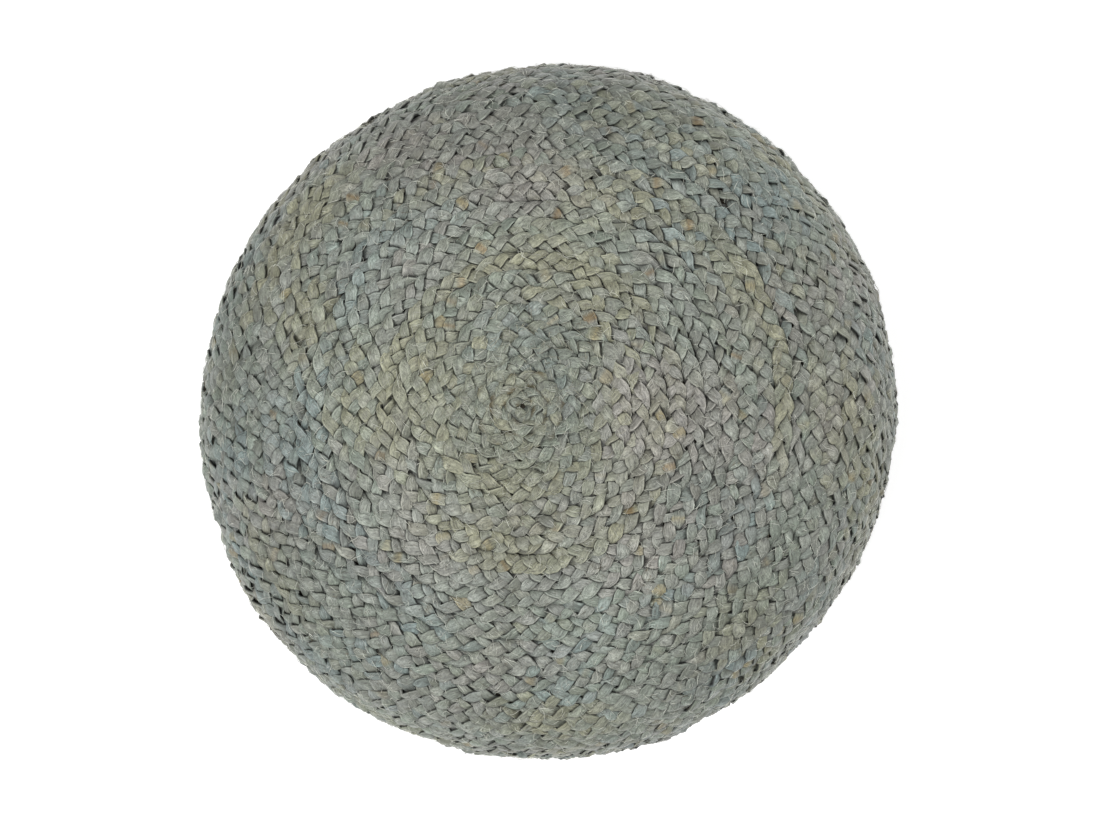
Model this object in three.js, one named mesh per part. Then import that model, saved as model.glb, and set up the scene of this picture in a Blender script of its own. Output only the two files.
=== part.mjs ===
import * as THREE from "three";

// Round floor pouf of plaited jute. Millimetres, +Z up, resting on z = 0 with
// its axis on Z. Seen from above, +X is to the right and +Y is up.

const DIAMETER = 500; // across the belly, between the widest rows
const HEIGHT = 350; // floor to the top of the crown
const BELLY_Z = 166; // height of the widest row
const CROWN_RISE = 16; // dome of the top above a flat lid
const UPPER_FULLNESS = 5.0; // power of the upper half's oval: 2 is an ellipse, higher is squarer
const LOWER_FULLNESS = 4.3;
const SETTLE = 6; // how much of the lower half is pressed flat by the floor
const OVAL = 0.011; // share by which the plan is longer one way than the other
const OVAL_DEG = 48; // direction of its long way, from +X towards +Y

const ROW_PITCH = 12.4; // from one turn of the plait to the next
const ROW_DEPTH = 3.0; // how far the sewn channel between two turns is drawn in
const START_DEG = 70; // where the first turn of the spiral starts
const SPIRAL_CENTRE = { x: -3, y: 1 }; // where the spiral starts, off the axis
const STEPS_ROUND = 33; // facets in one turn

// The lines of one turn, from the channel outwards. Each turn is tucked under
// the one inside it, so it rises slowly to its crest and drops at its edge.
// across: share of the pitch; depth: mm below the crest
const ROW = [
  { across: 0.0, depth: ROW_DEPTH },
  { across: 0.38, depth: 0.9 },
  { across: 0.76, depth: 0.0 },
];

// Unevenness of the filling, as waves round and down the cover.
// around: waves in one turn; down: waves from crown to base edge;
// swell: height of each wave; at: where it peaks, in degrees
const SWELLS = [
  { around: 3, down: 0.5, swell: 1.1, at: 205 },
  { around: 5, down: 1.0, swell: 0.7, at: 40 },
  { around: 2, down: 1.5, swell: 0.8, at: 110 },
];

const RADIUS = DIAMETER / 2;
const UPPER_H = HEIGHT - BELLY_Z - CROWN_RISE;
const LOWER_H = BELLY_Z + SETTLE;
const PROFILE_STEPS = 600;

const oval = (share, power) =>
  Math.pow(Math.max(0, 1 - Math.pow(share, power)), 1 / power);

// Half section from the crown's centre, over the shoulder and belly, to the
// edge of the flat base, as points with their length along the section.
function sectionPoints() {
  const points = [];
  const add = (r, z) => {
    const last = points[points.length - 1];
    const s = last ? last.s + Math.hypot(r - last.r, z - last.z) : 0;
    points.push({ r, z, s });
  };
  for (let i = 0; i <= PROFILE_STEPS; i++) {
    const a = (i / PROFILE_STEPS) * (Math.PI / 2);
    const share = Math.pow(Math.sin(a), 0.7);
    const r = RADIUS * share;
    add(
      r,
      BELLY_Z +
        UPPER_H * oval(share, UPPER_FULLNESS) +
        CROWN_RISE * (1 - share * share),
    );
  }
  for (let i = 1; i <= PROFILE_STEPS; i++) {
    const a = (1 - i / PROFILE_STEPS) * (Math.PI / 2);
    const share = Math.pow(Math.sin(a), 0.7);
    const z = BELLY_Z - LOWER_H * oval(share, LOWER_FULLNESS);
    if (z <= 0) {
      const before = points[points.length - 1];
      const part = before.z / (before.z - z);
      add(before.r + (RADIUS * share - before.r) * part, 0);
      break;
    }
    add(RADIUS * share, z);
  }
  return points;
}

const SECTION = sectionPoints();
const BASE_EDGE = SECTION[SECTION.length - 1];

// Place, outward direction on the section at a length s from the crown's centre.
function sectionAt(s) {
  if (s >= BASE_EDGE.s)
    return { r: BASE_EDGE.r - (s - BASE_EDGE.s), z: 0, nr: 0, nz: -1 };
  let low = 0,
    high = SECTION.length - 1;
  while (high - low > 1) {
    const mid = (low + high) >> 1;
    if (SECTION[mid].s > s) high = mid;
    else low = mid;
  }
  const a = SECTION[low],
    b = SECTION[high];
  const t = (s - a.s) / (b.s - a.s);
  const dr = (b.r - a.r) / (b.s - a.s),
    dz = (b.z - a.z) / (b.s - a.s);
  return {
    r: a.r + t * (b.r - a.r),
    z: a.z + t * (b.z - a.z),
    nr: -dz,
    nz: dr,
  };
}

const radians = (deg) => (deg * Math.PI) / 180;
const smooth = (x) => {
  const t = Math.min(1, Math.max(0, x));
  return t * t * (3 - 2 * t);
};

// A point of the cover: s down the section, angle round the axis, depth below
// the rows' crests.
function coverPoint(s, angle, depth) {
  const at = sectionAt(s);
  const share = s / BASE_EDGE.s;
  const free = smooth(at.z / 14); // nothing moves where the base lies flat
  let swell = 0;
  for (const w of SWELLS)
    swell +=
      w.swell *
      Math.cos(w.around * (angle - radians(w.at))) *
      Math.sin(Math.PI * Math.min(1, share)) *
      Math.cos(2 * Math.PI * w.down * share);
  const out = (swell - depth) * free;
  const r = at.r + at.nr * out;
  const z = Math.max(0, at.z + at.nz * out);
  const longer = 1 + OVAL * Math.cos(2 * (angle - radians(OVAL_DEG)));
  const pull = Math.pow(Math.max(0, 1 - at.r / RADIUS), 2) * (at.z > BELLY_Z);
  return new THREE.Vector3(
    r * longer * Math.cos(angle) + SPIRAL_CENTRE.x * pull,
    r * longer * Math.sin(angle) + SPIRAL_CENTRE.y * pull,
    z,
  );
}

// The cover as one band that winds outwards clockwise from the crown's centre.
// Line m is line m % ROW.length of its turn, and a turn later it ends where
// line m + ROW.length starts.
function coverGeometry() {
  const lines = ROW.length * Math.ceil(BASE_EDGE.s / ROW_PITCH) + 1;
  const places = [];
  const index = new Map();
  const corner = (m, j) => {
    if (j === STEPS_ROUND) return corner(m + ROW.length, 0);
    const key = m * STEPS_ROUND + j;
    if (!index.has(key)) {
      const line = ROW[m % ROW.length];
      const turn =
        Math.floor(m / ROW.length) + line.across + j / STEPS_ROUND;
      const angle = radians(START_DEG) - 2 * Math.PI * (j / STEPS_ROUND);
      index.set(key, places.length);
      places.push(coverPoint(turn * ROW_PITCH, angle, line.depth));
    }
    return index.get(key);
  };
  const faces = [];
  for (let m = 1; m < lines; m++)
    for (let j = 0; j < STEPS_ROUND; j++) {
      const a = corner(m, j),
        b = corner(m + 1, j),
        c = corner(m + 1, j + 1),
        d = corner(m, j + 1);
      faces.push([a, c, b], [a, d, c]);
    }
  // The two ends of the band are closed by fans round the axis.
  const loop = (m) => {
    const ring = [];
    for (let j = 0; j <= STEPS_ROUND; j++) ring.push(corner(m, j));
    for (let k = ROW.length - 1; k > 0; k--) ring.push(corner(m + k, 0));
    return ring;
  };
  const fan = (ring, centre, faceUp) => {
    const c = places.length;
    places.push(centre);
    ring.forEach((p, i) => {
      const q = ring[(i + 1) % ring.length];
      faces.push(faceUp ? [c, q, p] : [c, p, q]);
    });
  };
  fan(loop(1), coverPoint(0, 0, 0.5 * ROW_DEPTH), true);
  fan(loop(lines), new THREE.Vector3(0, 0, 0), false);

  const geometry = new THREE.BufferGeometry();
  geometry.setAttribute(
    "position",
    new THREE.Float32BufferAttribute(
      places.flatMap((v) => [v.x, v.y, v.z]),
      3,
    ),
  );
  geometry.setIndex(faces.flat());
  geometry.computeVertexNormals();
  return geometry;
}

const plaitedJute = new THREE.MeshStandardMaterial({
  color: 0x8a8c80,
  roughness: 0.95,
  metalness: 0,
  name: "plaited_jute",
});

const group = new THREE.Group();
const pouf = new THREE.Mesh(coverGeometry(), plaitedJute);
pouf.name = "pouf";
group.add(pouf);

export default group;
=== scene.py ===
import math

import bpy
import numpy as np
from mathutils import Matrix, Vector


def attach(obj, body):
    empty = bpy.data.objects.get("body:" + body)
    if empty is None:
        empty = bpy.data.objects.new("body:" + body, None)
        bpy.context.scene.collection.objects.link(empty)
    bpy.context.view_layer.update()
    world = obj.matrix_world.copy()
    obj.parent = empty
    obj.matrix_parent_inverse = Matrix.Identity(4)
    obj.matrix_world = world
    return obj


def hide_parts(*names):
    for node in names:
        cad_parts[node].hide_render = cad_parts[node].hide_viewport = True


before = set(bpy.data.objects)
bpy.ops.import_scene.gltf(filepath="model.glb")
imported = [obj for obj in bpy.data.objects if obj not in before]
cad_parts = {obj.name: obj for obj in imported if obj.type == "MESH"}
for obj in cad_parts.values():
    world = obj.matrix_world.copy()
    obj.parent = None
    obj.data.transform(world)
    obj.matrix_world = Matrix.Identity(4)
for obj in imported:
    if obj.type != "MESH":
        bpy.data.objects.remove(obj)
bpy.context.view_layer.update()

# ---------------------------------------------------------------- sizes, metres
RADIUS, HEIGHT, BELLY_Z = 0.250, 0.350, 0.166
CROWN_RISE, SETTLE = 0.016, 0.006
UPPER_FULLNESS, LOWER_FULLNESS = 5.0, 4.3
OVAL, OVAL_DEG = 0.011, 48
SPIRAL_CENTRE = (-0.003, 0.001)
START_DEG = 70
SWELLS = (  # around, down, swell, at
    (3, 0.5, 0.0011, 205),
    (5, 1.0, 0.0007, 40),
    (2, 1.5, 0.0008, 110),
)

PITCH = 0.0124  # from one turn of the plait to the next
PERIOD = 0.0362  # along the plait, until a strand is back on the same edge
HALF = 0.0052  # a strand's swing to either side of the plait's middle
LIFT = 0.0016  # and up and down through it
WIDE, NARROW = 0.0087, 0.0046  # a strand's width on a leaf, and where it turns at an edge
THIN, THICK = 0.0023, 0.0031  # its thickness at the same places
LAP, LAP_VARIES = 9.0, 4.0  # degrees each turn tilts, its inner edge tucked under
DEPTH = 0.0030  # plait's middle below the CAD solid's crests
SEED = 4107

rng = np.random.default_rng(SEED)


# ---------------------------------------------------------------- noise helpers
def smoothstep(x):
    x = np.clip(x, 0, 1)
    return x * x * (3 - 2 * x)


class Line:
    """Smooth random values along a line: nodes one apart, eased between."""

    def __init__(self, count, scale=1.0, shape="normal"):
        draw = rng.standard_normal if shape == "normal" else rng.random
        self.nodes = draw(int(count) + 8) * scale
        if shape == "normal":
            self.nodes = np.clip(self.nodes, -2.2 * scale, 2.2 * scale)

    def __call__(self, x):
        x = np.clip(np.asarray(x) + 2, 0, len(self.nodes) - 2.001)
        i = np.floor(x).astype(int)
        t = smoothstep(x - i)
        return self.nodes[i] * (1 - t) + self.nodes[i + 1] * t


class Field:
    """Smooth random values in space: waves of a few lengths, spread about 1."""

    def __init__(self, longest, shortest, waves=40):
        ways = rng.standard_normal((waves, 3))
        ways /= np.linalg.norm(ways, axis=1)[:, None]
        lengths = shortest * (longest / shortest) ** rng.random(waves)
        self.k = ways * (2 * np.pi / lengths)[:, None]
        self.phase = rng.random(waves) * 2 * np.pi
        self.scale = math.sqrt(2 / waves)

    def __call__(self, p):
        return np.cos(p @ self.k.T + self.phase).sum(1) * self.scale


# ---------------------------------------------------------------- the cover's shape
def oval(share, power):
    return np.maximum(0, 1 - share**power) ** (1 / power)


def half_section():
    """Crown's centre, over the shoulder and belly, to the base's centre."""
    a = np.linspace(0, np.pi / 2, 3001)
    share = np.sin(a) ** 0.7
    upper_h, lower_h = HEIGHT - BELLY_Z - CROWN_RISE, BELLY_Z + SETTLE
    top = np.stack(
        [
            RADIUS * share,
            BELLY_Z + upper_h * oval(share, UPPER_FULLNESS) + CROWN_RISE * (1 - share**2),
        ],
        1,
    )
    share = share[::-1][1:]
    low = np.stack([RADIUS * share, BELLY_Z - lower_h * oval(share, LOWER_FULLNESS)], 1)
    low = low[low[:, 1] > 0]
    edge = low[-1].copy()
    edge[1] = 0
    base = np.stack([np.linspace(edge[0], 0, 400), np.zeros(400)], 1)
    line = np.concatenate([top, low, base])
    keep = np.concatenate([[True], np.linalg.norm(np.diff(line, axis=0), axis=1) > 1e-7])
    line = line[keep]
    s = np.concatenate([[0], np.cumsum(np.linalg.norm(np.diff(line, axis=0), axis=1))])
    even = np.linspace(0, s[-1], 6001)
    line = np.stack([np.interp(even, s, line[:, k]) for k in (0, 1)], 1)
    d = np.gradient(line, even, axis=0)
    d /= np.linalg.norm(d, axis=1)[:, None]
    edge_s = float(even[np.argmax(line[:, 1] <= 1e-6)])
    return even, line, np.stack([-d[:, 1], d[:, 0]], 1), edge_s


SEC_S, SEC, SEC_N, EDGE_S = half_section()
S_END = float(SEC_S[-1])


def cover(s, angle, depth):
    """Points of the cover and its outward directions."""
    r, z = (np.interp(s, SEC_S, SEC[:, k]) for k in (0, 1))
    nr, nz = (np.interp(s, SEC_S, SEC_N[:, k]) for k in (0, 1))
    share = np.minimum(1, s / EDGE_S)
    free = smoothstep(z / 0.014)
    swell = sum(
        h
        * np.cos(n * (angle - math.radians(at)))
        * np.sin(np.pi * share)
        * np.cos(2 * np.pi * down * share)
        for n, down, h, at in SWELLS
    )
    out = swell * free - depth
    r2, z2 = r + nr * out, z + nz * out
    longer = 1 + OVAL * np.cos(2 * (angle - math.radians(OVAL_DEG)))
    pull = np.maximum(0, 1 - r / RADIUS) ** 2 * (z > BELLY_Z)
    p = np.stack(
        [
            r2 * longer * np.cos(angle) + SPIRAL_CENTRE[0] * pull,
            r2 * longer * np.sin(angle) + SPIRAL_CENTRE[1] * pull,
            z2,
        ],
        1,
    )
    n = np.stack([nr * np.cos(angle), nr * np.sin(angle), nz], 1)
    return p, n / np.linalg.norm(n, axis=1)[:, None]


# ---------------------------------------------------------------- the spiral
TURNS = np.linspace(0, 75, 75 * 240 + 1)
step_pitch = PITCH * (1 - 0.34 * np.exp(-TURNS / 2.8))
S_OF = 0.0016 + np.concatenate(
    [[0], np.cumsum((step_pitch[1:] + step_pitch[:-1]) / 2 * np.diff(TURNS))]
)
last = int(np.argmax(S_OF > S_END - 0.006))
TURNS, S_OF = TURNS[: last + 1], S_OF[: last + 1]
wander = Field(0.16, 0.05, 30)
lumps = Field(0.11, 0.05, 40)
fine_lumps = Field(0.045, 0.022, 40)

angles = math.radians(START_DEG) - 2 * np.pi * TURNS
first, _ = cover(S_OF, angles, 0.0)
calm = smoothstep(TURNS / 3) * smoothstep((S_END - S_OF) / 0.05)
S_ROW = S_OF + wander(first) * 0.0006 * calm
line_p, line_n = cover(S_ROW, angles, DEPTH)
loose = smoothstep(line_p[:, 2] / 0.03)  # the base lies flat
BUMPS = (
    (lumps(first) * 0.0007 + fine_lumps(first) * 0.00035) * loose * smoothstep(TURNS / 1.5)
)
line_p += line_n * BUMPS[:, None]
ALONG = np.concatenate([[0], np.cumsum(np.linalg.norm(np.diff(line_p, axis=0), axis=1))])
LENGTH = float(ALONG[-1])
line_t = np.gradient(line_p, ALONG, axis=0)
line_t /= np.linalg.norm(line_t, axis=1)[:, None]
line_n -= line_t * (line_n * line_t).sum(1)[:, None]
line_n /= np.linalg.norm(line_n, axis=1)[:, None]
line_b = np.cross(line_n, line_t)
# The leaves are short in the first turns and longest on the side.
period = PERIOD + 0.0025 * smoothstep((S_ROW - 0.06) / 0.12) - 0.0120 * np.exp(-S_ROW / 0.018)
WOUND = 2 * np.pi * np.concatenate(
    [[0], np.cumsum(np.diff(ALONG) * 2 / (period[1:] + period[:-1]))]
)


def on_line(values, at):
    if values.ndim == 1:
        return np.interp(at, ALONG, values)
    return np.stack([np.interp(at, ALONG, values[:, k]) for k in range(values.shape[1])], 1)


def along_at(s):
    return float(np.interp(s, S_ROW, ALONG))


# ---------------------------------------------------------------- the strands
leaves = LENGTH / PERIOD * 2 + 40
pace = Line(LENGTH / 0.4 + 4, 3.2)  # longer leaves in some turns than in others
drift = Line(LENGTH / 0.16 + 4, 1.0)
sway = Line(LENGTH / 0.055 + 4, 0.65)  # how the braider's hand speeds up and slows
lean = Line(LENGTH / 0.06 + 4, 1.0)
fat = [Line(leaves, 0.13) for _ in range(3)]
high = [Line(leaves, 0.00044) for _ in range(3)]
side = [Line(leaves, 0.00058) for _ in range(3)]
ahead = [Line(leaves, 0.00115) for _ in range(3)]
roll = [Line(leaves, 0.25) for _ in range(3)]
ragged = [[Line(LENGTH / 0.004, 0.00026) for _ in range(2)] for _ in range(3)]
bundle = [[Line(LENGTH / 0.013, 1.0) for _ in range(4)] for _ in range(3)]
wind = [[Line(LENGTH / 0.017, 1.5) for _ in range(4)] for _ in range(3)]


def phase(at, k):
    drawn = pace(at / 0.4) + drift(at / 0.16) + sway(at / 0.055)
    return np.interp(at, ALONG, WOUND) + 2 * np.pi * k / 3 + drawn


def centreline(at, k):
    """Middle of strand k, and the plait's directions there."""
    psi = phase(at, k)
    leaf = psi / np.pi - 0.25  # whole numbers at the middle of each leaf
    start = 0.66 + 0.34 * np.minimum(1, on_line(S_ROW, at) / 0.036)
    y = HALF * (np.sin(psi) - 0.1 * np.sin(3 * psi)) / 1.1 * start + side[k](leaf)
    grown = np.minimum(1, on_line(S_ROW, at) / 0.050)
    z = LIFT * np.tanh(1.2 * np.sin(2 * psi)) / math.tanh(1.2) + high[k](leaf)
    z = z * (0.6 + 0.4 * grown)
    # Both ends of the plait are tucked under, the last one over the base's middle.
    z = z - 0.0040 * (1 - smoothstep(at / 0.016)) - 0.0016 * (1 - smoothstep((LENGTH - at) / 0.007))
    y = y + 0.0042 * (1 - smoothstep((LENGTH - at) / 0.070))
    x = ahead[k](leaf)
    outer = smoothstep((on_line(S_ROW, at) - 0.15) / 0.06)
    lap = LAP + 1.0 * outer - 4.5 * smoothstep((0.110 - on_line(S_ROW, at)) / 0.05)
    tilt = np.radians(lap + LAP_VARIES * lean(at / 0.06)) * smoothstep(at / 0.12)
    c, s = np.cos(tilt), np.sin(tilt)
    y, z = y * c - z * s, y * s + z * c
    p, t, n, b = (on_line(v, at) for v in (line_p, line_t, line_n, line_b))
    p = p + t * x[:, None] + b * y[:, None] + n * z[:, None]
    c, s = c[:, None], s[:, None]
    return p, n * c - b * s, b * c + n * s, psi, leaf


def strand(at, k, section_deg):
    """Rings of points along strand k. section_deg are angles from its outer side."""
    p, n, b, psi, leaf = centreline(at, k)
    h = 3e-4
    t = centreline(at + h, k)[0] - centreline(at - h, k)[0]
    t /= np.linalg.norm(t, axis=1)[:, None]
    w = np.cross(n, t)
    w /= np.linalg.norm(w, axis=1)[:, None]
    up = np.cross(t, w)
    # The strand rolls over the plait's edges.
    turn = 0.4 * np.sin(psi) ** 3 * np.sign((w * b).sum(1)) + roll[k](leaf)
    c, s = np.cos(turn)[:, None], np.sin(turn)[:, None]
    w, up = w * c - up * s, up * c + w * s
    size = (1 + fat[k](leaf)) * (0.62 + 0.38 * np.minimum(1, on_line(S_ROW, at) / 0.036))
    size = size * (1 + 0.22 * (1 - smoothstep((LENGTH - at) / 0.060)))
    edge = np.abs(np.sin(psi - 0.06)) ** 11  # 1 where it turns at an edge of the plait
    waist = np.abs(np.cos(psi)) ** 13  # 1 where it comes up in the middle
    flat = np.abs(np.sin(2 * psi)) ** 0.6  # 1 on a leaf
    # Leaves are squarer on the crown and more pointed farther out.
    outer = smoothstep((on_line(S_ROW, at) - 0.09) / 0.10)
    inner = smoothstep((0.085 - on_line(S_ROW, at)) / 0.04)
    width = (WIDE - (WIDE - NARROW + 0.0009 * outer - 0.0014 * inner) * edge) * size
    width = width - (0.0010 + 0.0010 * outer) * waist
    height = THICK - (THICK - THIN) * flat
    a = np.radians(section_deg)
    sx = np.sign(np.sin(a)) * np.abs(np.sin(a)) ** 0.62
    sz = np.sign(np.cos(a)) * np.abs(np.cos(a)) ** 0.46
    # Bundles of fibre stand out or in a little, and wind slowly round the strand.
    grow = 0.00013 * sum(
        np.cos(m * a[None, :] + wind[k][i](at / 0.017)[:, None] + 0.9 * i)
        * (0.6 + 0.5 * bundle[k][i](at / 0.013)[:, None])
        for i, m in enumerate((3, 4, 5, 6))
    )
    x = sx * width[:, None] / 2 + grow * sx
    x += np.clip(sx, 0, 1) * ragged[k][0](at / 0.004)[:, None]
    x -= np.clip(-sx, 0, 1) * ragged[k][1](at / 0.004)[:, None]
    z = sz * height[:, None] / 2 + grow * sz
    ring = p[:, None, :] + w[:, None, :] * x[..., None] + up[:, None, :] * z[..., None]
    return ring, psi, leaf


def ring_places(a, z, k, steps):
    """Lengths for the rings of strand k, closer together where it shows."""
    fine = np.linspace(a, z, int((z - a) / PERIOD * 80) + 2)
    psi = phase(fine, k)
    u = psi - 0.45 * np.cos(2 * psi) / 2
    n = int(round((u[-1] - u[0]) / (2 * np.pi) * steps))
    return np.interp(np.linspace(u[0], u[-1], n + 1), u, fine)


# ---------------------------------------------------------------- colours
def srgb(*v):
    v = np.array(v, float) / 255
    return np.where(v <= 0.04045, v / 12.92, ((v + 0.055) / 1.055) ** 2.4)


TONES = {
    "grey": srgb(141, 145, 137),
    "green": srgb(135, 145, 132),
    "blue": srgb(127, 142, 140),
    "olive": srgb(147, 147, 123),
    "pink": srgb(147, 144, 137),
    "tan": srgb(147, 135, 97),
    "dark": srgb(114, 116, 104),
    "rust": srgb(122, 100, 60),
}
runs = {
    name: [Line(LENGTH / span, 1.0) for _ in range(3)]
    for name, span in (("blue", 0.075), ("olive", 0.085), ("pink", 0.06), ("green", 0.11))
}
batch = {name: Line(LENGTH / 0.9, 1.0) for name in ("blue", "olive")}
spots = {
    name: [Line(leaves, 1.0, "flat") for _ in range(3)] for name in ("tan", "dark", "rust", "light")
}
patch = {name: Field(0.30, 0.07, 30) for name in ("blue", "olive", "pink", "light")}


def strand_colour(at, k, leaf, p):
    """Colour of the strand along its length, before streaks."""
    s = on_line(S_ROW, at)
    warm = smoothstep((s - 0.064) / 0.014) * smoothstep((0.120 - s) / 0.016)  # a beige round
    cool = smoothstep((s - 0.120) / 0.016) * smoothstep((0.180 - s) / 0.040)
    middle = smoothstep((0.034 - s) / 0.014)
    near = smoothstep((0.066 - s) / 0.030)
    drifting = 0.5 * p[:, 1] / RADIUS
    mixed = 0.34 * (1 - 0.55 * near)
    share = {}
    share["blue"] = (
        mixed * runs["blue"][k](at / 0.075)
        + 0.28 * patch["blue"](p)
        + 0.24 * batch["blue"](at / 0.9)
        + 0.08
        - 0.55 * warm
        + 0.20 * cool
        - 0.26 * middle
        - 0.16 * drifting
    )
    share["olive"] = (
        mixed * runs["olive"][k](at / 0.085)
        + 0.28 * patch["olive"](p)
        + 0.22 * batch["olive"](at / 0.9)
        - 0.04
        + 0.50 * warm
        - 0.12 * cool
        + 0.34 * middle
        + 0.16 * drifting
    )
    share["pink"] = 0.30 * runs["pink"][k](at / 0.06) + 0.36 * patch["pink"](p) + 0.15 * warm
    share["green"] = 0.5 + 0.35 * runs["green"][k](at / 0.11)
    share = {name: np.clip(v, 0, 0.9) for name, v in share.items()}
    share["tan"] = smoothstep((spots["tan"][k](leaf) - 0.955 + 0.02 * warm) / 0.05) * 0.8
    share["dark"] = smoothstep((spots["dark"][k](leaf) - 0.88) / 0.12) * 0.6
    share["rust"] = smoothstep((spots["rust"][k](leaf) - 0.980 + 0.012 * warm) / 0.02) * 0.8
    for name in ("tan", "rust", "pink", "dark"):
        share[name] = share[name] * (1 - 0.75 * near)
    c = np.repeat(TONES["grey"][None, :], len(at), 0)
    for name in ("green", "blue", "pink", "olive", "dark", "tan", "rust"):
        f = share[name][:, None]
        c = c * (1 - f) + TONES[name][None, :] * f
    light = (0.12 - 0.05 * near) * (spots["light"][k](leaf) - 0.5) * 2
    light = 1 + light + 0.05 * patch["light"](p)
    light = light * (0.706 + 0.010 * warm + 0.010 * cool - 0.078 * near + 0.034 * middle)
    # Painted shade: darker from the shoulder down, where the light falls off.
    light = light * (1 - 0.09 * smoothstep((s - 0.25) / 0.06))
    return c * light[:, None]


def side_shade(section_deg):
    """Painted shade and dust on a strand's sides, and a painted highlight, a lighter line, beside them.
    """
    off = np.abs(section_deg)
    # Painted highlight beside each edge, then painted shade down the strand's sides.
    rim_highlight = 0.97 + 0.56 * np.exp(-(((off - 64) / 10) ** 2))
    return rim_highlight * (1 - 0.92 * smoothstep((off - 67) / 26))


def joint_shade(off, s, at):
    """Dust and painted shade where one turn is sewn to the next, and painted shade down
    the middle of the plait where the strands cross: off is from that middle. In the first turns it lies
    in short brown lines."""
    joint = 0.10 * smoothstep((s - 0.17) / 0.05) + 0.26 * smoothstep((0.034 - s) / 0.02)
    joint = joint * smoothstep((np.abs(off) - 0.0036) / 0.0022)
    joint = np.maximum(joint, 0.20 * smoothstep((0.011 - s) / 0.008))
    dashes = smoothstep(0.3 + 0.8 * np.sin(at * 331) + 0.5 * np.sin(at * 556 + 1))
    brown = 0.62 * smoothstep((0.040 - s) / 0.024) * dashes
    brown = brown * smoothstep((np.abs(off) - 0.0030) / 0.0016)
    # Painted shade down the plait's middle, where the strands cross.
    fold_shade = 0.20 * smoothstep((s - 0.13) / 0.08) * smoothstep((0.0022 - np.abs(off)) / 0.0018)
    dust_and_shade = 1 - np.maximum(joint, fold_shade)[..., None] * np.array([0.96, 1.0, 1.10])
    return dust_and_shade * (1 - brown[..., None] * np.array([0.82, 1.0, 1.25]))


# ---------------------------------------------------------------- mesh helpers
def set_attribute(me, name, kind, values, domain="POINT"):
    a = me.attributes.new(name, kind, domain)
    key = {"FLOAT": "value", "FLOAT_VECTOR": "vector", "FLOAT_COLOR": "color"}[kind]
    a.data.foreach_set(key, np.ascontiguousarray(values, np.float32).ravel())


def with_alpha(colours, alpha=None):
    alpha = np.ones(len(colours)) if alpha is None else alpha
    return np.concatenate([colours, alpha[:, None]], 1)


def make_mesh(name, points, faces, attributes=(), bake_uv=None):
    """faces are an array of quads, or a list of faces of any size."""
    me = bpy.data.meshes.new(name)
    points = np.ascontiguousarray(points, np.float32)
    if isinstance(faces, list):
        sizes = np.array([len(f) for f in faces])
        corners = np.concatenate(faces).astype(np.int32)
        starts = np.concatenate([[0], np.cumsum(sizes)[:-1]]).astype(np.int32)
    else:
        corners = np.ascontiguousarray(faces, np.int32).ravel()
        starts = np.arange(len(faces), dtype=np.int32) * faces.shape[1]
    me.vertices.add(len(points))
    me.vertices.foreach_set("co", points.ravel())
    me.loops.add(len(corners))
    me.loops.foreach_set("vertex_index", corners)
    me.polygons.add(len(starts))
    me.polygons.foreach_set("loop_start", starts)
    me.update(calc_edges=True)
    me.validate()
    me.polygons.foreach_set("use_smooth", np.ones(len(me.polygons), bool))
    for n, kind, values in attributes:
        set_attribute(me, n, kind, values)
    if bake_uv is not None:
        layer = me.uv_layers.new(name="OFBake")
        layer.uv.foreach_set("vector", np.ascontiguousarray(bake_uv, np.float32).ravel())
    me.update()
    o = bpy.data.objects.new(name, me)
    bpy.context.scene.collection.objects.link(o)
    return o


# ---------------------------------------------------------------- plait pieces
def hidden_place(near_at, k):
    """Length near near_at at which strand k runs deepest under its neighbours."""
    near = np.linspace(near_at - PERIOD * 0.6, near_at + PERIOD * 0.6, 600)
    near = near[(near > 0) & (near < LENGTH)]
    return float(near[np.argmin(np.sin(2 * phase(near, k)))])


def local_place(points, at):
    """Length down the section, angle and height of points beside the plait's line."""
    p, t, n, b = (on_line(v, at) for v in (line_p, line_t, line_n, line_b))
    q = points - p[:, None, :]
    x, y, z = ((q * v[:, None, :]).sum(-1) for v in (t, b, n))
    s = on_line(S_ROW, at)[:, None] + y
    angle = np.interp(at[:, None] + x, ALONG, angles)
    return s, angle, z + on_line(BUMPS, at)[:, None]


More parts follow.
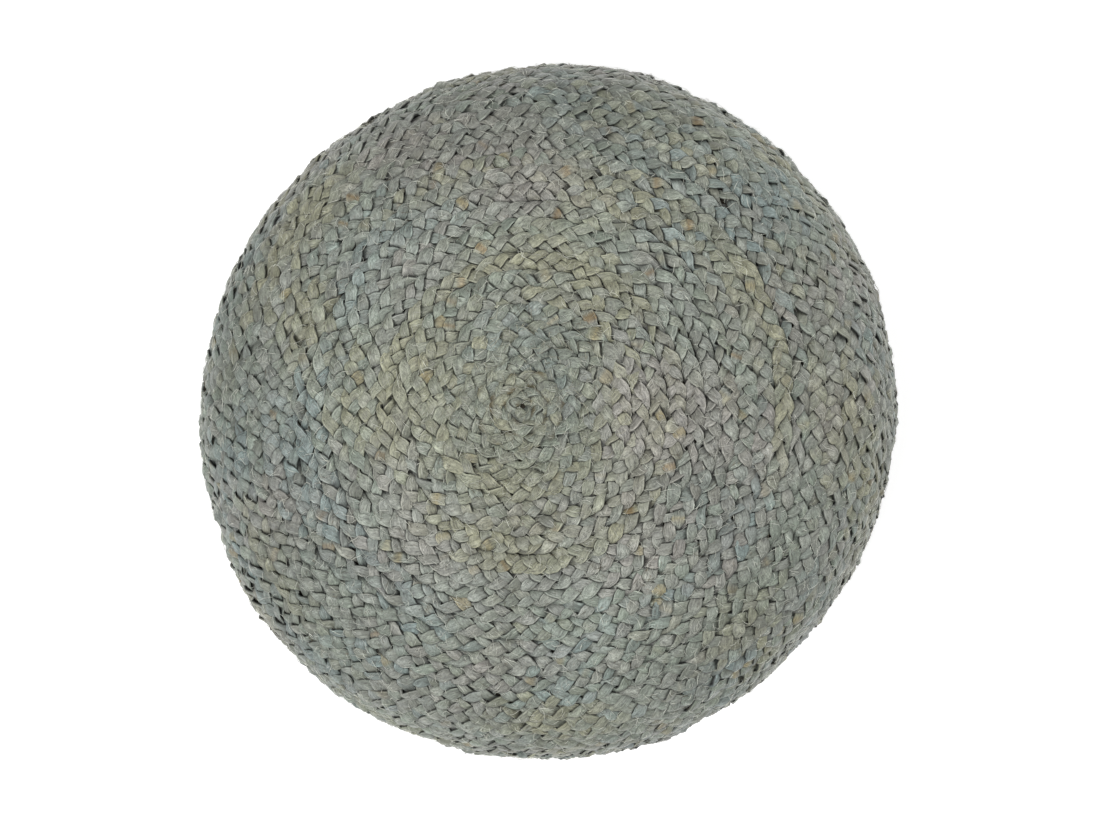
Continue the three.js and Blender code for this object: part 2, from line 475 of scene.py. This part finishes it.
class Plait:
    """A stretch of the three strands: rings of points, and what colours them."""

    def __init__(self, name, begin, end, steps, section_deg):
        self.name = name
        self.section = np.asarray(section_deg, float)
        self.strands = []
        for k in range(3):
            a = 0.0 if begin <= 0 else hidden_place(begin, k)
            z = LENGTH if end >= LENGTH else hidden_place(end, k)
            at = ring_places(a, z, k, steps)
            ring, psi, leaf = strand(at, k, self.section)
            ring[..., 2] = np.maximum(ring[..., 2], 0.0)
            # Strands fray where they turn, at the plait's edges.
            frayed = np.abs(np.sin(psi)) ** 5
            middle = smoothstep((0.072 - on_line(S_ROW, at)) / 0.046)
            frayed = np.maximum(frayed, 0.85 * middle)
            self.strands.append((k, at, ring, leaf, frayed, local_place(ring, at)))

    def build(self, relief):
        points, faces, lay, colour, alpha, uv = [], [], [], [], [], []
        across = len(self.section)
        side_tone = side_shade(self.section)[None, :, None]
        round_it = np.radians(self.section) * 0.0034
        total = sum(len(job[1]) - 1 for job in self.strands)
        # One map for a baked picture: the strands cut into strips, laid in rows.
        metres = sum(job[1][-1] - job[1][0] for job in self.strands) * 1.3
        per_strip = int(math.ceil(total / max(1, round(math.sqrt(metres / 0.0125)))))
        strips = sum(int(math.ceil((len(job[1]) - 1) / per_strip)) for job in self.strands)
        strip = base = 0
        for k, at, ring, leaf, frayed, place in self.strands:
            n = len(at) - 1
            tone = strand_colour(at, k, leaf, ring[:, across // 2])[:, None, :]
            # Painted shade on the strands' sides and in the gaps between leaves, with a painted
            # highlight line by each edge.
            tone = tone * side_tone * relief.shade(*place)[..., None]
            s = on_line(S_ROW, at)[:, None]
            # Dust and painted shade at the joints between turns and down the plait's middle.
            tone = tone * joint_shade(place[0] - s, s, at[:, None])
            points.append(ring.reshape(-1, 3))
            i = np.arange(n)[:, None] * across + np.arange(across - 1)[None, :] + base
            quad = np.stack([i, i + 1, i + 1 + across, i + across], -1)
            faces.append(quad.reshape(-1, 4)[:, ::-1])
            lay.append(
                np.stack(
                    [
                        np.repeat(at[:, None], across, 1),
                        np.repeat(round_it[None, :], n + 1, 0),
                        np.full((n + 1, across), k * 3.1 + 0.7),
                    ],
                    -1,
                ).reshape(-1, 3)
            )
            colour.append(tone.reshape(-1, 3))
            alpha.append(np.repeat(frayed, across))
            which = np.arange(n) // per_strip
            u0 = (np.arange(n) % per_strip) / per_strip
            j = np.arange(across - 1)
            step = 0.88 / strips / (across - 1)
            va = ((strip + which + 0.06) / strips)[:, None] + j[None, :] * step
            ua = np.repeat(u0[:, None], across - 1, 1)
            corners = [(1, 0), (1, 1), (0, 1), (0, 0)]  # reversed, as the faces are
            uv.append(
                np.stack(
                    [np.stack([ua + cu / per_strip, va + cv * step], -1) for cu, cv in corners], 2
                ).reshape(-1, 2)
            )
            strip += int(math.ceil(n / per_strip))
            base += (n + 1) * across
        return make_mesh(
            self.name,
            np.concatenate(points),
            np.concatenate(faces),
            [
                ("lay", "FLOAT_VECTOR", np.concatenate(lay)),
                (
                    "tone",
                    "FLOAT_COLOR",
                    with_alpha(np.concatenate(colour), np.concatenate(alpha)),
                ),
            ],
            np.concatenate(uv),
        )


class Relief:
    """Height of the finished plait over the cover, so that the gaps between leaves
    can be told from their backs. It is kept as three maps: the crown and the base
    as discs, and the side as a sheet wrapped round."""

    CELL, EMPTY, DISC = 0.0013, -1.0, 0.20

    def __init__(self, plaits):
        around = int(2 * np.pi * RADIUS / self.CELL)
        disc = int(2 * (self.DISC + 0.02) / self.CELL)
        sizes = ((disc, disc), (int(S_END / self.CELL) + 8, around), (disc, disc))
        maps = [np.full(size, self.EMPTY) for size in sizes]
        for plait in plaits:
            for *_, (s, angle, z) in plait.strands:
                for which, top in enumerate(maps):
                    near = self.zone(s, 0.012, which)
                    np.maximum.at(top, self.cell(which, s[near], angle[near]), z[near])
        self.top, self.mean = [], []
        for top in maps:
            for _ in range(3):
                top = np.where(top <= self.EMPTY, self.widest(top), top)
            top = np.maximum(top, -0.004)
            self.mean.append(self.blurred(self.blurred(top, 0), 1))
            self.top.append(self.widest(top))

    def zone(self, s, margin, which):
        crown, base = self.DISC, S_END - 0.15
        return (
            s < crown + margin,
            (s >= crown - margin) & (s < base + margin),
            s >= base - margin,
        )[which]

    def cell(self, which, s, angle):
        if which == 1:
            rows, columns = int(S_END / self.CELL) + 8, int(2 * np.pi * RADIUS / self.CELL)
            i = np.clip((s / self.CELL).astype(int), 0, rows - 1)
            return i, np.floor(angle / (2 * np.pi) * columns).astype(int) % columns
        r = s if which == 0 else S_END - s
        side = int(2 * (self.DISC + 0.02) / self.CELL)
        place = [(r * f(angle) + self.DISC + 0.02) / self.CELL for f in (np.cos, np.sin)]
        return tuple(np.clip(q.astype(int), 0, side - 1) for q in place)

    @staticmethod
    def widest(top):
        rows = np.maximum(top, np.maximum(np.roll(top, 1, 1), np.roll(top, -1, 1)))
        return np.maximum(rows, np.maximum(np.roll(rows, 1, 0), np.roll(rows, -1, 0)))

    @staticmethod
    def blurred(top, axis, half=2):
        return sum(np.roll(top, k, axis) for k in range(-half, half + 1)) / (2 * half + 1)

    def look_up(self, maps, s, angle):
        out = np.empty(s.shape)
        for which, values in enumerate(maps):
            here = self.zone(s, 0.0, which)
            out[here] = values[self.cell(which, s[here], angle[here])]
        return out

    def shade(self, s, angle, z):
        """Painted shade: darker in the gaps, and full on the leaves' backs."""
        cavity = self.look_up(self.mean, s, angle) - z
        return np.exp(-np.maximum(cavity - 0.0010, 0) / 0.0014)

    def height(self, s, angle):
        return self.look_up(self.top, s, angle)


def loose_fibres(name, count, relief, s_low, s_high, seed):
    """Fine light fibres that have worked loose and lie on the plait, as
    three-sided tubes."""
    draw = np.random.default_rng(seed)
    points_each, radius = 4, 0.00014
    # As many to an area anywhere: picked by the cover's area at each length.
    weight = np.interp(SEC_S, SEC_S, SEC[:, 0]) * ((SEC_S > s_low) & (SEC_S < s_high))
    s0 = np.interp(draw.random(count), np.cumsum(weight) / weight.sum(), SEC_S)
    middle = draw.random(count) < 0.035 if s_low == 0 else np.zeros(count, bool)
    s0[middle] = draw.random(middle.sum()) ** 0.5 * 0.070
    a0 = draw.random(count) * 2 * np.pi
    # More than half lie where one turn is sewn to the next.
    part = (math.radians(START_DEG) - a0) / (2 * np.pi) % 1
    joint = np.round(np.interp(s0, S_OF, TURNS) - part - 0.5) + part + 0.5
    at_joint = draw.random(count) < 0.55
    s_joint = np.interp(joint, TURNS, S_OF) + draw.standard_normal(count) * 0.0014
    s0 = np.where(at_joint, s_joint, s0)
    length = 0.0028 + 0.0078 * draw.random(count) ** 1.5
    heading = draw.random(count) * 2 * np.pi
    bend = draw.standard_normal(count) * np.where(draw.random(count) < 0.5, 1.3, 0.5)
    wave = draw.random(count) * 2 * np.pi
    lift = np.where(draw.random(count) < 0.10, draw.random(count) * 0.0016, 0.0)
    t = np.linspace(0, 1, points_each)
    way = heading[:, None] + bend[:, None] * (t - 0.5) + 0.22 * np.sin(6 * t + wave[:, None])
    step = (length / (points_each - 1))[:, None]
    x = np.cumsum(np.cos(way) * step, 1)
    y = np.cumsum(np.sin(way) * step, 1)
    s = np.clip(s0[:, None] + y, 0.0008, S_END - 0.004)
    r = np.maximum(np.interp(s0, SEC_S, SEC[:, 0]), 0.004)
    angle = a0[:, None] + x / r[:, None]
    z = relief.height(s, angle)
    z[:, 1:-1] = z[:, :-2] * 0.25 + z[:, 1:-1] * 0.5 + z[:, 2:] * 0.25
    z = z + 0.00030 + lift[:, None] * np.sin(np.pi * t)[None, :] ** 0.5
    p, n = cover(s.ravel(), angle.ravel(), DEPTH - z.ravel())
    p, n = p.reshape(count, points_each, 3), n.reshape(count, points_each, 3)
    d = np.gradient(p, axis=1)
    d /= np.linalg.norm(d, axis=2)[..., None]
    u = np.cross(d, n)
    u /= np.linalg.norm(u, axis=2)[..., None]
    v = np.cross(u, d)
    thick = radius * (0.55 + 0.7 * draw.random(count))[:, None] * np.array(
        [0.4, 1.0, 1.0, 0.4]
    )
    ring = np.stack(
        [
            p + thick[..., None] * (u * math.cos(q) + v * math.sin(q))
            for q in (math.pi / 2, math.pi * 7 / 6, math.pi * 11 / 6)
        ],
        2,
    )
    ring[..., 2] = np.maximum(ring[..., 2], 0.0)
    points = ring.reshape(-1, 3)
    base = np.arange(count)[:, None, None] * points_each * 3
    along = np.arange(points_each - 1)[None, :, None] * 3
    q = np.arange(3)[None, None, :]
    q2 = (q + 1) % 3
    quads = np.stack(
        [base + along + q, base + along + q2, base + along + q2 + 3, base + along + q + 3], -1
    ).reshape(-1, 4)
    first = np.arange(count) * points_each * 3
    final = first + (points_each - 1) * 3
    ends = np.concatenate(
        [
            np.stack([first + 2, first + 1, first], 1),
            np.stack([final, final + 1, final + 2], 1),
        ]
    )
    light = 0.65 + 0.6 * draw.random(count)
    tone = srgb(208, 210, 198)[None, :] * light[:, None]
    dark = draw.random(count) < 0.14
    tone[dark] = srgb(84, 76, 58)
    tone[middle] = (srgb(176, 174, 154)[None, :] * light[:, None])[middle]
    # A cell of the map for each fibre.
    columns = int(math.ceil(math.sqrt(count)))
    cell_u, cell_v = (np.arange(count) % columns) / columns, (np.arange(count) // columns) / columns
    size = 1 / columns
    f = np.arange(points_each - 1) / (points_each - 1)
    uq = []
    for da, dq in ((0, 0), (0, 1), (1, 1), (1, 0)):
        uu = cell_u[:, None, None] + size * (0.1 + 0.8 * (f[None, :, None] + da / (points_each - 1)))
        vv = cell_v[:, None, None] + size * (0.1 + 0.8 * (np.arange(3)[None, None, :] + dq) / 3)
        uq.append(
            np.stack(
                [
                    np.broadcast_to(uu, (count, points_each - 1, 3)),
                    np.broadcast_to(vv, (count, points_each - 1, 3)),
                ],
                -1,
            )
        )
    uq = np.stack(uq, 3).reshape(-1, 2)
    ue = []
    for at_u in (0.1, 0.9):
        tri = np.stack(
            [
                np.stack([cell_u + size * (at_u + du), cell_v + size * dv], -1)
                for du, dv in ((-0.04, 0.2), (0.0, 0.5), (0.04, 0.8))
            ],
            1,
        )
        ue.append(tri.reshape(-1, 2))
    return make_mesh(
        name,
        points,
        list(quads) + list(ends),
        [
            (
                "tone",
                "FLOAT_COLOR",
                with_alpha(np.repeat(tone[:, None, :], points_each * 3, 1).reshape(-1, 3)),
            )
        ],
        np.concatenate([uq] + ue),
    )


# ---------------------------------------------------------------- materials
class Nodes:
    """Short names for the nodes of a material."""

    def __init__(self, name):
        self.material = bpy.data.materials.new(name)
        self.material.use_nodes = True
        self.tree = self.material.node_tree
        self.shader = self.tree.nodes["Principled BSDF"]

    def attribute(self, name):
        n = self.tree.nodes.new("ShaderNodeAttribute")
        n.attribute_name = name
        return n

    def link(self, a, b):
        self.tree.links.new(a, b)

    def noise(self, vector, scale, detail, rough, distortion=0.0):
        """Noise with its own scale in each direction of vector."""
        mp = self.tree.nodes.new("ShaderNodeVectorMath")
        mp.operation = "MULTIPLY"
        mp.inputs[1].default_value = scale
        self.link(vector, mp.inputs[0])
        t = self.tree.nodes.new("ShaderNodeTexNoise")
        t.inputs["Scale"].default_value = 1.0
        t.inputs["Detail"].default_value = detail
        t.inputs["Roughness"].default_value = rough
        t.inputs["Distortion"].default_value = distortion
        self.link(mp.outputs["Vector"], t.inputs["Vector"])
        return t.outputs["Fac"]

    def ramp(self, fac, low, high, a, b):
        r = self.tree.nodes.new("ShaderNodeMapRange")
        for key, value in (("From Min", low), ("From Max", high), ("To Min", a), ("To Max", b)):
            r.inputs[key].default_value = value
        self.link(fac, r.inputs["Value"])
        return r.outputs["Result"]

    def math(self, operation, a, b):
        m = self.tree.nodes.new("ShaderNodeMath")
        m.operation = operation
        for value, socket in ((a, m.inputs[0]), (b, m.inputs[1])):
            if isinstance(value, (int, float)):
                socket.default_value = value
            else:
                self.link(value, socket)
        return m.outputs["Value"]

    def line(self, noise, width, value):
        """value along the noise's middle contours, and 0 away from them."""
        off = self.math("ABSOLUTE", self.math("SUBTRACT", noise, 0.5), 0.0)
        return self.ramp(off, 0.0, width, value, 0.0)

    def turned(self, vector, degrees):
        r = self.tree.nodes.new("ShaderNodeVectorRotate")
        r.rotation_type = "Z_AXIS"
        r.inputs["Angle"].default_value = math.radians(degrees)
        self.link(vector, r.inputs["Vector"])
        return r.outputs["Vector"]

    def bump(self, height, strength, distance, normal=None):
        b = self.tree.nodes.new("ShaderNodeBump")
        b.inputs["Strength"].default_value = strength
        b.inputs["Distance"].default_value = distance
        self.link(height, b.inputs["Height"])
        if normal is not None:
            self.link(normal, b.inputs["Normal"])
        return b.outputs["Normal"]


def jute_material():
    m = Nodes("plaited_jute_strand")
    tone_node = m.attribute("tone")
    tone, frayed = tone_node.outputs["Color"], tone_node.outputs["Alpha"]
    lay = m.attribute("lay").outputs["Vector"]
    fibres = m.noise(lay, (150, 2300, 1), 3.0, 0.6, 0.4)  # single fibres
    bundles = m.noise(lay, (70, 700, 1), 2.0, 0.5, 0.5)  # bundles of them
    specks = m.noise(lay, (750, 1200, 1), 2.0, 0.6)
    flecks = m.noise(lay, (300, 1000, 1), 2.0, 0.6)
    # Fibres tell more on some leaves than on others.
    clear = m.ramp(m.noise(lay, (60, 120, 1), 1.0, 0.5), 0.38, 0.62, 0.3, 1.0)
    streaks = m.math("MULTIPLY", m.ramp(fibres, 0.30, 0.70, -0.28, 0.28), clear)
    light = m.math("ADD", streaks, 1.0)
    light = m.math("ADD", light, m.ramp(bundles, 0.30, 0.70, -0.08, 0.08))
    light = m.math("ADD", light, m.ramp(specks, 0.56, 0.66, 0.0, 0.34))
    light = m.math("ADD", light, m.ramp(specks, 0.34, 0.44, -0.32, 0.0))
    # Splits between bundles, as thin dark lines.
    light = m.math("ADD", light, m.line(bundles, 0.05, -0.36))
    # Fibres that cross the lie of the others, as thin light lines.
    stray = m.ramp(m.noise(lay, (140, 260, 1), 1.0, 0.5), 0.46, 0.60, 0.0, 0.42)
    for degrees in (24, -31):
        cross = m.noise(m.turned(lay, degrees), (120, 620, 1), 1.0, 0.5, 0.6)
        light = m.math("ADD", light, m.math("MULTIPLY", m.line(cross, 0.075, 1.0), stray))
    # Frayed ends curl over each other at the plait's edges.
    curls = m.noise(lay, (330, 520, 1), 1.5, 0.5, 1.2)
    much = m.math("ADD", m.math("MULTIPLY", frayed, 0.62), 0.06)
    light = m.math("ADD", light, m.math("MULTIPLY", m.line(curls, 0.055, 1.0), much))
    tangle = m.noise(m.turned(lay, 50), (620, 900, 2), 1.0, 0.5, 1.0)
    light = m.math("SUBTRACT", light, m.math("MULTIPLY", m.line(tangle, 0.06, 1.0), much))
    light = m.math("MAXIMUM", light, 0.12)
    # Painted shade in the corners where one strand dives under another, from ambient occlusion.
    corner = m.tree.nodes.new("ShaderNodeAmbientOcclusion")
    corner.samples, corner.only_local = 4, True
    corner.inputs["Distance"].default_value = 0.0012
    corner_shade = m.ramp(corner.outputs["AO"], 0.50, 0.86, 1.0, 0.0)
    first_turns = m.tree.nodes.new("ShaderNodeSeparateXYZ")
    m.link(lay, first_turns.inputs[0])
    corner_shade = m.math("MULTIPLY", corner_shade, m.ramp(first_turns.outputs["X"], 0.2, 1.3, 0.42, 1.0))
    where = m.ramp(m.noise(lay, (170, 260, 1), 1.0, 0.5), 0.36, 0.56, 0.70, 1.0)
    unshaded = m.math("SUBTRACT", 1.0, m.math("MULTIPLY", corner_shade, where))
    light = m.math("MULTIPLY", light, unshaded)
    coloured = m.tree.nodes.new("ShaderNodeVectorMath")
    coloured.operation = "SCALE"
    m.link(tone, coloured.inputs[0])
    m.link(light, coloured.inputs["Scale"])
    mix = m.tree.nodes.new("ShaderNodeMix")
    mix.data_type = "RGBA"
    mix.inputs[7].default_value = (0.10, 0.075, 0.042, 1)
    m.link(m.ramp(flecks, 0.64, 0.74, 0.0, 0.6), mix.inputs[0])
    m.link(coloured.outputs["Vector"], mix.inputs[6])
    m.link(mix.outputs[2], m.shader.inputs["Base Color"])
    normal = m.bump(bundles, 0.7, 0.0008)
    normal = m.bump(m.math("MULTIPLY", fibres, clear), 0.6, 0.0005, normal)
    m.link(normal, m.shader.inputs["Normal"])
    m.link(m.ramp(fibres, 0.2, 0.8, 0.52, 0.34), m.shader.inputs["Roughness"])
    m.shader.inputs["Specular IOR Level"].default_value = 0.5
    m.shader.inputs["Sheen Weight"].default_value = 0.08
    m.shader.inputs["Sheen Roughness"].default_value = 0.5
    return m.material


def fibre_material():
    m = Nodes("loose_jute_fibre")
    tone = m.attribute("tone").outputs["Color"]
    place = m.tree.nodes.new("ShaderNodeTexCoord").outputs["Object"]
    light = m.ramp(m.noise(place, (300, 300, 300), 2.0, 0.5), 0.3, 0.7, 0.75, 1.2)
    coloured = m.tree.nodes.new("ShaderNodeVectorMath")
    coloured.operation = "SCALE"
    m.link(tone, coloured.inputs[0])
    m.link(light, coloured.inputs["Scale"])
    m.link(coloured.outputs["Vector"], m.shader.inputs["Base Color"])
    m.shader.inputs["Roughness"].default_value = 0.6
    m.shader.inputs["Specular IOR Level"].default_value = 0.3
    return m.material


def inside_material():
    # Painted shade: the backing is near black, standing in for the shadow seen through gaps in the
    # plait.
    m = Nodes("shadowed_jute_backing")
    place = m.tree.nodes.new("ShaderNodeTexCoord").outputs["Object"]
    t = m.noise(place, (420, 420, 420), 3.0, 0.5)
    r = m.tree.nodes.new("ShaderNodeValToRGB")
    r.color_ramp.elements[0].position = 0.35
    r.color_ramp.elements[0].color = (0.020, 0.018, 0.013, 1)
    r.color_ramp.elements[1].position = 0.7
    r.color_ramp.elements[1].color = (0.070, 0.062, 0.046, 1)
    m.link(t, r.inputs["Fac"])
    m.link(r.outputs["Color"], m.shader.inputs["Base Color"])
    m.shader.inputs["Roughness"].default_value = 0.95
    m.shader.inputs["Specular IOR Level"].default_value = 0.15
    return m.material


# ---------------------------------------------------------------- the filled body
def filled_body():
    """The filling's outline just under the plait, one closed form."""
    rings, around, under = 72, 48, 0.0060
    s = np.linspace(0.004, S_END - 0.004, rings)
    ang = np.linspace(0, 2 * np.pi, around, endpoint=False)
    S, A = np.meshgrid(s, ang, indexing="ij")
    p, _ = cover(S.ravel(), A.ravel(), under)
    p[:, 2] = np.maximum(p[:, 2], 0.0045)
    top, _ = cover(np.array([0.0]), np.array([0.0]), under)
    points = np.concatenate([p, top, [[0, 0, 0.0045]]])
    i = np.arange(rings - 1)[:, None] * around
    j = np.arange(around)[None, :]
    j2 = (j + 1) % around
    faces = list(
        np.stack([i + j, i + around + j, i + around + j2, i + j2], -1).reshape(-1, 4)
    )
    t, b = len(p), len(p) + 1
    for q in range(around):
        q2 = (q + 1) % around
        faces.append(np.array([t, q, q2]))
        faces.append(np.array([b, (rings - 1) * around + q2, (rings - 1) * around + q]))
    return make_mesh("pouf_filling", points, faces)


# ---------------------------------------------------------------- build
FINE = (-125, -98, -80, -64, -36, 0, 36, 64, 80, 98, 125)
MIDDLE = (-122, -94, -70, -40, 0, 40, 70, 94, 122)
PLAIN = (-116, -88, -58, 0, 58, 88, 116)
HIDDEN = (-105, -62, 0, 62, 105)

base_start = EDGE_S - 0.012
side_step = (base_start - 0.335) / 3
STRETCHES = (  # name, ends at this length down the section, rings to a period, section
    ("plait_centre", 0.165, 13, FINE),
    ("plait_crown", 0.235, 13, MIDDLE),
    ("plait_shoulder", 0.335, 11, MIDDLE),
    ("plait_side_upper", 0.335 + side_step, 9, PLAIN),
    ("plait_side_middle", 0.335 + 2 * side_step, 9, PLAIN),
    ("plait_side_lower", base_start, 9, PLAIN),
    ("plait_base", S_END, 8, HIDDEN),
)
plaits = []
begin = 0.0
for name, until, steps, section in STRETCHES:
    end = LENGTH if until >= S_END else along_at(until)
    plaits.append(Plait(name, begin, end, steps, section))
    begin = end
relief = Relief(plaits)

jute = jute_material()
pieces = [plait.build(relief) for plait in plaits]
for o in pieces:
    o.data.materials.append(jute)
fibres = [
    loose_fibres("loose_fibres_top", 9800, relief, 0.0, 0.32, 11),
    loose_fibres("loose_fibres_side", 3400, relief, 0.32, base_start, 12),
]
loose_m = fibre_material()
for o in fibres:
    o.data.materials.append(loose_m)
body = filled_body()
body.data.materials.append(inside_material())

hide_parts("pouf")
for o in pieces + fibres + [body]:
    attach(o, "root")

counts = {o.name: sum(len(f.vertices) - 2 for f in o.data.polygons) for o in pieces + fibres + [body]}
print("plait", round(LENGTH, 2), "m,", round(float(TURNS[-1]), 1), "turns", counts, sum(counts.values()))

# ---------------------------------------------------------------- floor, light, camera
floor_m = bpy.data.materials.new("pale_floor")
floor_m.use_nodes = True
fp = floor_m.node_tree.nodes["Principled BSDF"]
fp.inputs["Base Color"].default_value = (0.65, 0.65, 0.65, 1)
fp.inputs["Roughness"].default_value = 0.9
fp.inputs["Specular IOR Level"].default_value = 0.1
fp.inputs["Emission Color"].default_value = (1, 1, 1, 1)
fp.inputs["Emission Strength"].default_value = 0.58
bpy.ops.mesh.primitive_plane_add(size=24, location=(0, 0, -0.0005))
floor = bpy.context.object
floor.name = "floor"
floor.data.materials.append(floor_m)

world = bpy.data.worlds.new("studio")
bpy.context.scene.world = world
world.use_nodes = True
bg = world.node_tree.nodes["Background"]
bg.inputs["Color"].default_value = (1.0, 1.0, 1.0, 1)
bg.inputs["Strength"].default_value = 0.57


def lamp(name, at, aim, size, watts):
    d = bpy.data.lights.new(name, "AREA")
    d.shape = "DISK"
    d.size = size
    d.energy = watts
    o = bpy.data.objects.new(name, d)
    o.location = at
    o.rotation_mode = "QUATERNION"
    o.rotation_quaternion = (Vector(aim) - Vector(at)).to_track_quat("-Z", "Y")
    bpy.context.scene.collection.objects.link(o)
    return o


lamp("left", (-2.0, -1.3, 2.1), (0, 0, 0.2), 1.0, 38)
lamp("right", (2.0, 1.2, 2.1), (0, 0, 0.2), 1.0, 31)
lamp("top", (-0.15, -0.45, 2.7), (0, 0, 0.3), 0.5, 22)

TILT, TOWARDS = math.radians(6.7), math.radians(-12.0)
DISTANCE = 2.6
target = Vector((-0.0046, 0.0016, BELLY_Z))
back = Vector(
    (
        math.sin(TILT) * math.cos(TOWARDS),
        math.sin(TILT) * math.sin(TOWARDS),
        math.cos(TILT),
    )
)
right = Vector((0, 1, 0)).cross(back).normalized()
upward = back.cross(right)
cam_data = bpy.data.cameras.new("camera")
cam = bpy.data.objects.new("camera", cam_data)
bpy.context.scene.collection.objects.link(cam)
cam_data.sensor_width = 36
cam_data.lens = 114.6
spot = target + back * DISTANCE
rot = Matrix((right, upward, back)).transposed()
cam.matrix_world = Matrix.Translation(spot) @ rot.to_4x4()
bpy.context.scene.camera = cam

sc = bpy.context.scene
sc.view_settings.view_transform = "Standard"
sc.view_settings.look = "None"
sc.view_settings.exposure = 0.0
sc.view_settings.gamma = 1.0

bpy.context.view_layer.update()
